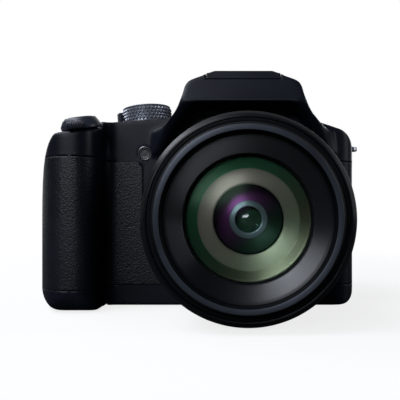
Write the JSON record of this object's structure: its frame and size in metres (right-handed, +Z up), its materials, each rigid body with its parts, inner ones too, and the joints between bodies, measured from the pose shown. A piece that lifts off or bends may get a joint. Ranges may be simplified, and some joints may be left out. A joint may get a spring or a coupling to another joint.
{
  "type": "bridge camera",
  "caption": "Black long-zoom bridge camera with a deep grip, a viewfinder hump with pop-up flash and a two-stage lens barrel; dials, lever and buttons all move.",
  "frame": {"origin": "centre of the tripod socket's mouth, on the base plane", "axes": "+X to the right seen from the front, -Y out of the lens, +Z up"},
  "size_m": [0.1361, 0.1192, 0.0943],
  "materials": {
    "body_plastic": "fine satin moulded black plastic",
    "leatherette": "leather-grained black skin",
    "soft_rubber": "soft matt black rubber",
    "sheet_steel": "plain bright steel",
    "cast_brass": "nickel-plated brass",
    "circuit_board": "green solder mask",
    "sensor_glass": "cover glass",
    "dark_plastic": "matt black plastic",
    "window_plastic": "polished clear plastic over black",
    "clear_glass": "coated optical glass",
    "diffuser": "ribbed clear plastic",
    "lamp_lens": "clear tinted plastic",
    "dial_metal": "satin grey anodised aluminium",
    "record_red": "dark red plastic",
    "retainer_paint": "grey-green painted cell"
  },
  "bodies": {
    "body": {"bottom_cover": "body_plastic", "front_cover": "body_plastic", "rear_cover": "body_plastic", "top_cover": "body_plastic", "grip_leatherette": "leatherette", "thumb_rest": "soft_rubber", "chassis": "sheet_steel", "case_screws": "sheet_steel", "tripod_socket": "cast_brass", "strap_lugs": "sheet_steel", "main_board": "circuit_board", "sensor_board": "circuit_board", "image_sensor": "sensor_glass", "battery_door_pin": "sheet_steel", "battery": "dark_plastic", "battery_holder": "dark_plastic", "memory_card": "dark_plastic", "usb_socket": "sheet_steel", "hdmi_socket": "sheet_steel", "lcd_panel": "dark_plastic", "lcd_window": "window_plastic", "eyecup": "soft_rubber", "eyepiece_lens": "clear_glass", "evf_display": "dark_plastic", "flash_hinge_pin": "sheet_steel", "flash_capacitor": "dark_plastic", "af_lamp": "lamp_lens", "lens_base": "dark_plastic", "fixed_barrel": "body_plastic", "rear_lens": "clear_glass", "zoom_motor": "dial_metal"},
    "zoom": {"zoom_barrel": "dark_plastic", "second_lens": "clear_glass"},
    "front": {"front_barrel": "dial_metal", "name_ring": "dark_plastic", "front_lens": "clear_glass", "lens_retainer": "retainer_paint"},
    "cam": {"cam_ring": "dial_metal"},
    "flash": {"flash_head": "body_plastic", "flash_window": "diffuser", "flash_tube": "clear_glass"},
    "mode_dial": {"mode_dial": "dial_metal"},
    "power_lever": {"power_lever": "dark_plastic"},
    "zoom_lever": {"zoom_lever": "dark_plastic"},
    "shutter": {"shutter_button": "dial_metal"},
    "movie": {"movie_button": "record_red"},
    "flash_release": {"flash_button": "body_plastic"},
    "rear_dial": {"rear_dial": "dark_plastic"},
    "diopter": {"diopter_dial": "dark_plastic"},
    "battery_door": {"battery_door": "body_plastic"},
    "battery_latch": {"battery_latch": "dark_plastic"},
    "port_door": {"port_door": "soft_rubber"},
    "lvf": {"lvf_button": "body_plastic"},
    "af_lock": {"af_lock_button": "body_plastic"},
    "play": {"play_button": "body_plastic"},
    "display": {"display_button": "body_plastic"},
    "menu": {"menu_button": "body_plastic"},
    "cursor": {"cursor_pad": "body_plastic"},
    "set": {"set_button": "body_plastic"}
  },
  "joints": [
    {"name": "zoom_slide", "type": "slide", "parent": "body", "child": "zoom", "axis": [0, -1, 0], "range_m": [0, 0.036]},
    {"name": "front_slide", "type": "slide", "parent": "zoom", "child": "front", "axis": [0, -1, 0], "range_m": [0, 0.03]},
    {"name": "cam_turn", "type": "hinge", "parent": "body", "child": "cam", "pos_m": [0, -0.053, 0.0355], "axis": [0, 1, 0], "range_deg": [0, 110]},
    {"name": "flash_hinge", "type": "hinge", "parent": "body", "child": "flash", "pos_m": [-0.002, 0.002, 0.09], "axis": [-1, 0, 0], "range_deg": [0, 55]},
    {"name": "mode_dial_turn", "type": "hinge", "parent": "body", "child": "mode_dial", "pos_m": [-0.0454, -0.002, 0.0769], "axis": [-0.0872, 0, 0.9962], "continuous": true},
    {"name": "power_lever_turn", "type": "hinge", "parent": "body", "child": "power_lever", "pos_m": [-0.0454, -0.002, 0.0769], "axis": [-0.0872, 0, 0.9962], "range_deg": [0, 30]},
    {"name": "zoom_lever_turn", "type": "hinge", "parent": "body", "child": "zoom_lever", "pos_m": [-0.0654, -0.0355, 0.0708], "axis": [-0.12, -0.1736, 0.9775], "range_deg": [-25, 25], "stiffness_Nm_per_rad": 0.02},
    {"name": "shutter_press", "type": "slide", "parent": "body", "child": "shutter", "axis": [0.12, 0.1736, -0.9775], "range_m": [0, 0.001], "stiffness_N_per_m": 300},
    {"name": "movie_press", "type": "slide", "parent": "body", "child": "movie", "axis": [0, 0, -1], "range_m": [0, 0.0006], "stiffness_N_per_m": 300},
    {"name": "flash_release_press", "type": "slide", "parent": "body", "child": "flash_release", "axis": [0, 0, -1], "range_m": [0, 0.0006], "stiffness_N_per_m": 300},
    {"name": "rear_dial_turn", "type": "hinge", "parent": "body", "child": "rear_dial", "pos_m": [-0.068, 0.0155, 0.0646], "axis": [0, 0, 1], "continuous": true},
    {"name": "diopter_turn", "type": "hinge", "parent": "body", "child": "diopter", "pos_m": [-0.0203, 0.0253, 0.08], "axis": [1, 0, 0], "range_deg": [-60, 60]},
    {"name": "battery_door_swing", "type": "hinge", "parent": "body", "child": "battery_door", "pos_m": [-0.0566, -0.009, 0.0015], "axis": [0, -1, 0], "range_deg": [0, 95]},
    {"name": "battery_latch_slide", "type": "slide", "parent": "battery_door", "child": "battery_latch", "axis": [1, 0, 0], "range_m": [0, 0.002]},
    {"name": "port_door_swing", "type": "hinge", "parent": "body", "child": "port_door", "pos_m": [-0.085, 0.0086, 0.022], "axis": [0, 0, 1], "range_deg": [0, 95]},
    {"name": "lvf_press", "type": "slide", "parent": "body", "child": "lvf", "axis": [0, -1, 0], "range_m": [0, 0.0006], "stiffness_N_per_m": 300},
    {"name": "af_lock_press", "type": "slide", "parent": "body", "child": "af_lock", "axis": [0, -1, 0], "range_m": [0, 0.0006], "stiffness_N_per_m": 300},
    {"name": "play_press", "type": "slide", "parent": "body", "child": "play", "axis": [0, -1, 0], "range_m": [0, 0.0006], "stiffness_N_per_m": 300},
    {"name": "display_press", "type": "slide", "parent": "body", "child": "display", "axis": [0, -1, 0], "range_m": [0, 0.0006], "stiffness_N_per_m": 300},
    {"name": "menu_press", "type": "slide", "parent": "body", "child": "menu", "axis": [0, -1, 0], "range_m": [0, 0.0006], "stiffness_N_per_m": 300},
    {"name": "cursor_press", "type": "slide", "parent": "body", "child": "cursor", "axis": [0, -1, 0], "range_m": [0, 0.0006], "stiffness_N_per_m": 300},
    {"name": "set_press", "type": "slide", "parent": "body", "child": "set", "axis": [0, -1, 0], "range_m": [0, 0.0006], "stiffness_N_per_m": 300}
  ],
  "couplings": [
    {"joint": "front_slide", "follows": "zoom_slide", "ratio": 0.8333},
    {"joint": "cam_turn", "follows": "zoom_slide", "rad_per_m": 53.3}
  ]
}
